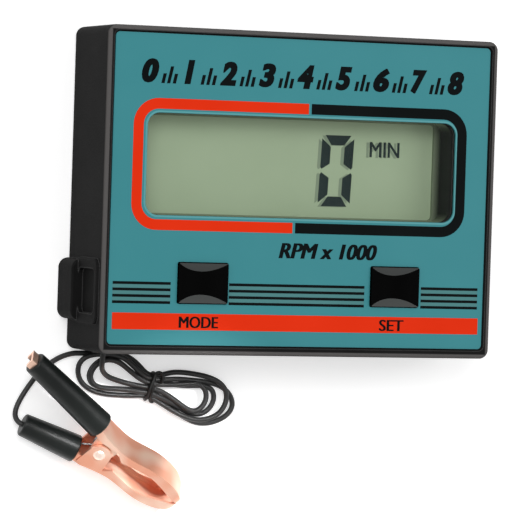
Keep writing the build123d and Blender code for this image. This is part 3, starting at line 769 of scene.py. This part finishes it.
band_top = face_top + print_t
mode_box = (-30.3, -20.4, -32.1, -29.4)
set_box = (20.9, 27.3, -32.1, -29.4)
scale_label_box = (-5.6, 19.8, -15.2, -11.5)
lettering("mode_label", "MODE", mode_box, band_top, ink_black, bold=0.26)
lettering("set_label", "SET", set_box, band_top, ink_black, bold=0.26)
lettering(
    "scale_label", "RPM x 1000", scale_label_box, face_top, ink_black, bold=0.5, slant=0.25
)

scale_x = (-41.4, 41.2)
scale_y = (25.2, 30.9)
scale_last = 8
numeral_w = 4.3
one_inset = 0.2
scale_slant = 0.22
numeral_step = (scale_x[1] - scale_x[0] - numeral_w) / scale_last
tick_w = 0.8
tick_heights = (2.3, 4.0, 2.3)
# The ticks' places in the room between two figures, counted in tick_spaces
tick_back = 2.0
tick_lead = 0.75
tick_spaces = 3.9


def scale_numerals():
    """The figures of a plain dial scale, evenly spaced."""
    for value in range(scale_last + 1):
        x0 = scale_x[0] + numeral_step * value
        spare = numeral_w * one_inset if value == 1 else 0.0
        lettering(
            f"numeral_{value}", str(value), (x0 + spare, x0 + numeral_w - spare, *scale_y), face_top,
            ink_black, bold=0.3, slant=scale_slant, weight=0.05,
        )


def scale_ticks():
    """Three slanted ticks between each two figures, the middle one longer."""
    room = numeral_step - numeral_w
    ticks = []
    for value in range(scale_last):
        start = scale_x[0] + numeral_step * value + numeral_w
        for k, tall in enumerate(tick_heights):
            x = start - scale_slant * tick_back + room * (k + tick_lead) / tick_spaces
            lean = scale_slant * tall
            ticks.append([
                (x, scale_y[0]), (x + tick_w, scale_y[0]),
                (x + tick_w + lean, scale_y[0] + tall), (x + lean, scale_y[0] + tall),
            ])
    printed("scale_ticks", ticks, ink_black)


scale_numerals()
scale_ticks()


# Display: dark segments on the glass, with the paler shadow that they cast on the reflector

glass_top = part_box("display_glass")[1].z / MM
digit_x = 7.8
digit_y = -2.6
digit_w = 8.4
digit_h = 17.2
stroke = 2.4
# The segments' mitred corners, and their tips at the digit's waist
mitre = 0.32
outer_chamfer = 0.5
inner_gap = 0.1
tip_x = 0.35
tip_y = 0.4
tip_inner = 0.5
tip_outer = 0.9
italic = 0.045
shadow_shift = (-0.85, -0.15)
segment_t = 0.02

segment_ink = ink(
    "segment_ink", (0.017, 0.029, 0.029), (0.026, 0.042, 0.043),
    specular=0.06, roughness=0.4, depth=0.001,
)
segment_shadow = ink(
    "segment_shadow", (0.24, 0.30, 0.215), (0.25, 0.315, 0.225),
    specular=0.2, roughness=0.5, depth=0.001,
)


def zero_segments():
    """The six lit segments of a nought, upright, from its own lower left corner."""
    w, h, s, g = digit_w, digit_h, stroke, mitre
    top = [
        (g + outer_chamfer, h), (w - g - outer_chamfer, h),
        (w - s - inner_gap, h - s), (s + inner_gap, h - s),
    ]
    side = [
        (0.0, h - g - outer_chamfer), (s, h - s - g - inner_gap), (s, h / 2 + s / 2 + tip_inner),
        (tip_x, h / 2 + tip_y), (0.0, h / 2 + tip_outer),
    ]
    upper_right = [(w - x, y) for x, y in side]
    shapes = [top, side, upper_right]
    return shapes + [[(x, h - y) for x, y in shape] for shape in shapes]


def on_glass(shapes, shift=(0.0, 0.0)):
    """The shapes leaned over as italics, at the digit's place."""
    return [
        [(digit_x + shift[0] + x + italic * y, digit_y + shift[1] + y) for x, y in shape]
        for shape in shapes
    ]


flat_piece(
    "digit_shadow", on_glass(zero_segments(), shadow_shift), glass_top, segment_t / 2,
    segment_shadow,
)
flat_piece("digit", on_glass(zero_segments()), glass_top, segment_t, segment_ink)
unit_box = (21.0, 28.9, 9.6, 13.3)
shadow_box = (
    unit_box[0] + shadow_shift[0], unit_box[1] + shadow_shift[0],
    unit_box[2] + shadow_shift[1], unit_box[3] + shadow_shift[1],
)
lettering("unit_shadow", "MIN", shadow_box, glass_top, segment_shadow, bold=0.2)
lettering("unit", "MIN", unit_box, glass_top + segment_t, segment_ink, bold=0.2)


# Floor, world and lamps, in metres

floor_half = 1.5
floor_z = -0.02 * MM
floor_gray = 0.86
floor_lift = 0.45
# The world's strength on matt surfaces, and for reflections at the horizon and overhead
sky_for_matt = 0.52
sky_low = 0.9
sky_high = 0.4
sky_span = (-0.1, 0.9)
lamp_target = (0.0, -0.02, 0.0)
spot_target = (-0.033, -0.067, 0.008)
spot_cone = 3.6
spot_blend = 0.5
spot_radius = 0.01


def add_floor():
    """A pale floor that reads white where nothing shades it, and keeps the soft shadows."""
    mesh = bpy.data.meshes.new("floor")
    sides = rectangle(-floor_half, floor_half, -floor_half, floor_half)
    mesh.from_pydata([(x, y, floor_z) for x, y in sides], [], [(0, 1, 2, 3)])
    floor = bpy.data.objects.new("floor", mesh)
    bpy.context.scene.collection.objects.link(floor)
    gray = (floor_gray, floor_gray, floor_gray)
    material, shader = new_material("floor_finish", gray, roughness=0.9, specular=0.0)
    tree = material.node_tree
    path = tree.nodes.new("ShaderNodeLightPath")
    seen = maths(material, "MAXIMUM", path.outputs["Is Camera Ray"], path.outputs["Is Glossy Ray"])
    lift = maths(material, "MULTIPLY", seen, floor_lift)
    shader.inputs["Emission Color"].default_value = (1.0, 1.0, 1.0, 1.0)
    tree.links.new(lift, shader.inputs["Emission Strength"])
    dress(floor, material)


def add_world():
    """Soft light from all round, seen as white by the camera and as a soft sky by glossy surfaces."""
    world = bpy.data.worlds.new("world")
    bpy.context.scene.world = world
    world.use_nodes = True
    tree = world.node_tree
    background = tree.nodes["Background"]
    background.inputs["Color"].default_value = (1.0, 1.0, 1.0, 1.0)
    path = tree.nodes.new("ShaderNodeLightPath")
    height = coordinates(world, "Generated")["Z"]
    mirror = tree.nodes.new("ShaderNodeMix")
    mirror.inputs["A"].default_value = sky_for_matt
    tree.links.new(remap(world, height, sky_low, sky_high, *sky_span), mirror.inputs["B"])
    glossy = maths(world, "MAXIMUM", path.outputs["Is Glossy Ray"], path.outputs["Is Transmission Ray"])
    tree.links.new(glossy, mirror.inputs["Factor"])
    seen = tree.nodes.new("ShaderNodeMix")
    seen.inputs["B"].default_value = 1.0
    tree.links.new(path.outputs["Is Camera Ray"], seen.inputs["Factor"])
    tree.links.new(mirror.outputs["Result"], seen.inputs["A"])
    tree.links.new(seen.outputs["Result"], background.inputs["Strength"])


def hang_lamp(name, data, place, aim):
    """The lamp at its place, turned to shine that way."""
    lamp = bpy.data.objects.new(name, data)
    lamp.matrix_world = Matrix.Translation(place) @ aim.to_track_quat("-Z", "Y").to_matrix().to_4x4()
    bpy.context.scene.collection.objects.link(lamp)


def add_lamp(name, place, size, power):
    """A square soft lamp at a place, turned to the housing."""
    data = bpy.data.lights.new(name, "AREA")
    data.shape = "SQUARE"
    data.size = size
    data.energy = power
    hang_lamp(name, data, Vector(place), Vector(lamp_target) - Vector(place))


def add_clip_spot(towards, distance, power):
    """A narrow soft spot on the clip, from that far off, which the housing would leave in its shade."""
    data = bpy.data.lights.new("clip_spot", "SPOT")
    data.energy = power
    data.shadow_soft_size = spot_radius
    data.spot_size = math.radians(spot_cone)
    data.spot_blend = spot_blend
    back = Vector(towards).normalized()
    hang_lamp("clip_spot", data, Vector(spot_target) + distance * back, -back)


add_floor()
add_world()
add_lamp("key_lamp", (-0.5, 0.42, 1.3), size=0.7, power=8.0)
add_lamp("fill_lamp", (0.8, 0.1, 1.0), size=0.6, power=2.2)
add_clip_spot((0.25, 0.30, 0.92), distance=0.8, power=32.0)

bpy.context.scene.view_settings.view_transform = "Standard"
